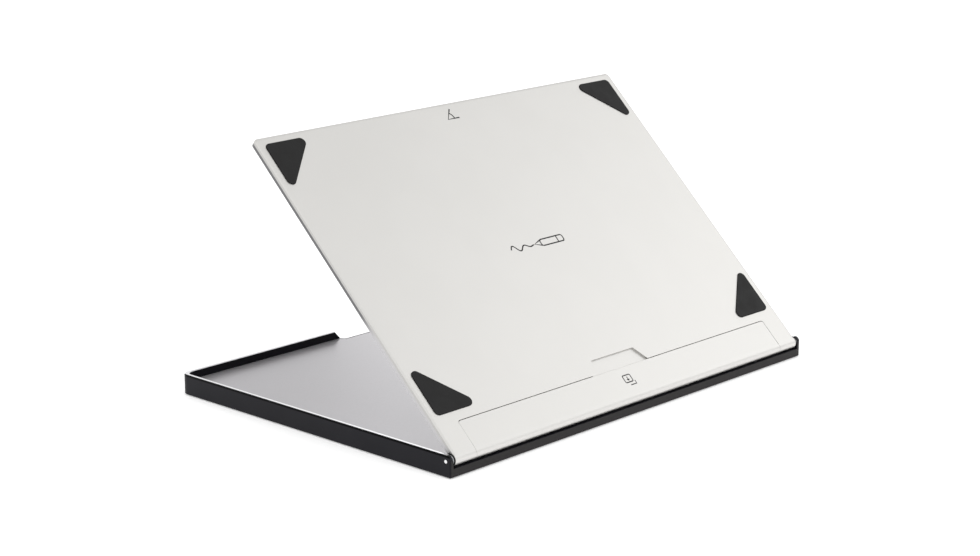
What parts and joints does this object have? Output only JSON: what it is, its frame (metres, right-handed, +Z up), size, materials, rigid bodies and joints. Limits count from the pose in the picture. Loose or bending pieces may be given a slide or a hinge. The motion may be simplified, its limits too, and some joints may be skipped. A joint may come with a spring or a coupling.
{
  "type": "pen drawing tablet stand",
  "caption": "Slim fold-flat stand for a pen drawing tablet: a black tray base, a hinged silver lid with corner grip pads, and a fold-out ledge along its lower edge.",
  "frame": {"origin": "centre of the stand's footprint, on the table that its feet stand on", "axes": "+X along the hinge to the user's right, +Y from the hinge side towards the far wall, +Z up; the lid stands open at 44 degrees"},
  "size_m": [0.34, 0.241, 0.1747],
  "materials": {
    "tray_black": "black anodised, satin",
    "silver_anodised": "fine blasted, silver anodised",
    "deck_grey": "satin grey laminate",
    "cover_black": "fine moulded texture",
    "liner_grey": "fine moulded texture",
    "cap_black": "satin",
    "core_board": "plain board",
    "rubber_black": "matt",
    "steel": "zinc plated",
    "steel_bright": "ground",
    "screw_black": "black zinc",
    "magnet_nickel": "nickel plated",
    "bush_white": "plain acetal"
  },
  "bodies": {
    "base": {"base_tray": "tray_black", "deck_panel": "deck_grey", "bottom_cover": "cover_black", "ballast_plate": "steel", "ballast_screws": "steel", "cover_screws": "screw_black", "foot_front_left": "rubber_black", "foot_front_right": "rubber_black", "foot_rear_left": "rubber_black", "foot_rear_right": "rubber_black", "hinge_rod": "steel_bright", "washers_left": "steel", "washers_right": "steel"},
    "lid": {"lid_plate": "silver_anodised", "lid_liner": "liner_grey", "lid_core_board": "core_board", "lid_screws": "screw_black", "lid_bumpers": "rubber_black", "friction_band_left": "steel_bright", "friction_band_right": "steel_bright", "hinge_cap_left": "cap_black", "hinge_cap_right": "cap_black", "ledge_stop_left": "steel", "ledge_stop_right": "steel", "ledge_magnets": "magnet_nickel", "pad_low_left": "rubber_black", "pad_low_right": "rubber_black", "pad_top_left": "rubber_black", "pad_top_right": "rubber_black"},
    "ledge": {"ledge_flap": "silver_anodised", "ledge_bush_left": "bush_white", "ledge_bush_middle": "bush_white", "ledge_bush_right": "bush_white", "ledge_catch_plates": "steel", "ledge_grip_strips": "rubber_black"}
  },
  "joints": [
    {"name": "lid_hinge", "type": "hinge", "parent": "base", "child": "lid", "pos_m": [0, -0.1167, 0.00995], "axis": [1, 0, 0], "range_deg": [-44, 31]},
    {"name": "ledge_hinge", "type": "hinge", "parent": "lid", "child": "ledge", "pos_m": [0, -0.1167, 0.00995], "axis": [1, 0, 0], "range_deg": [0, 90]}
  ]
}
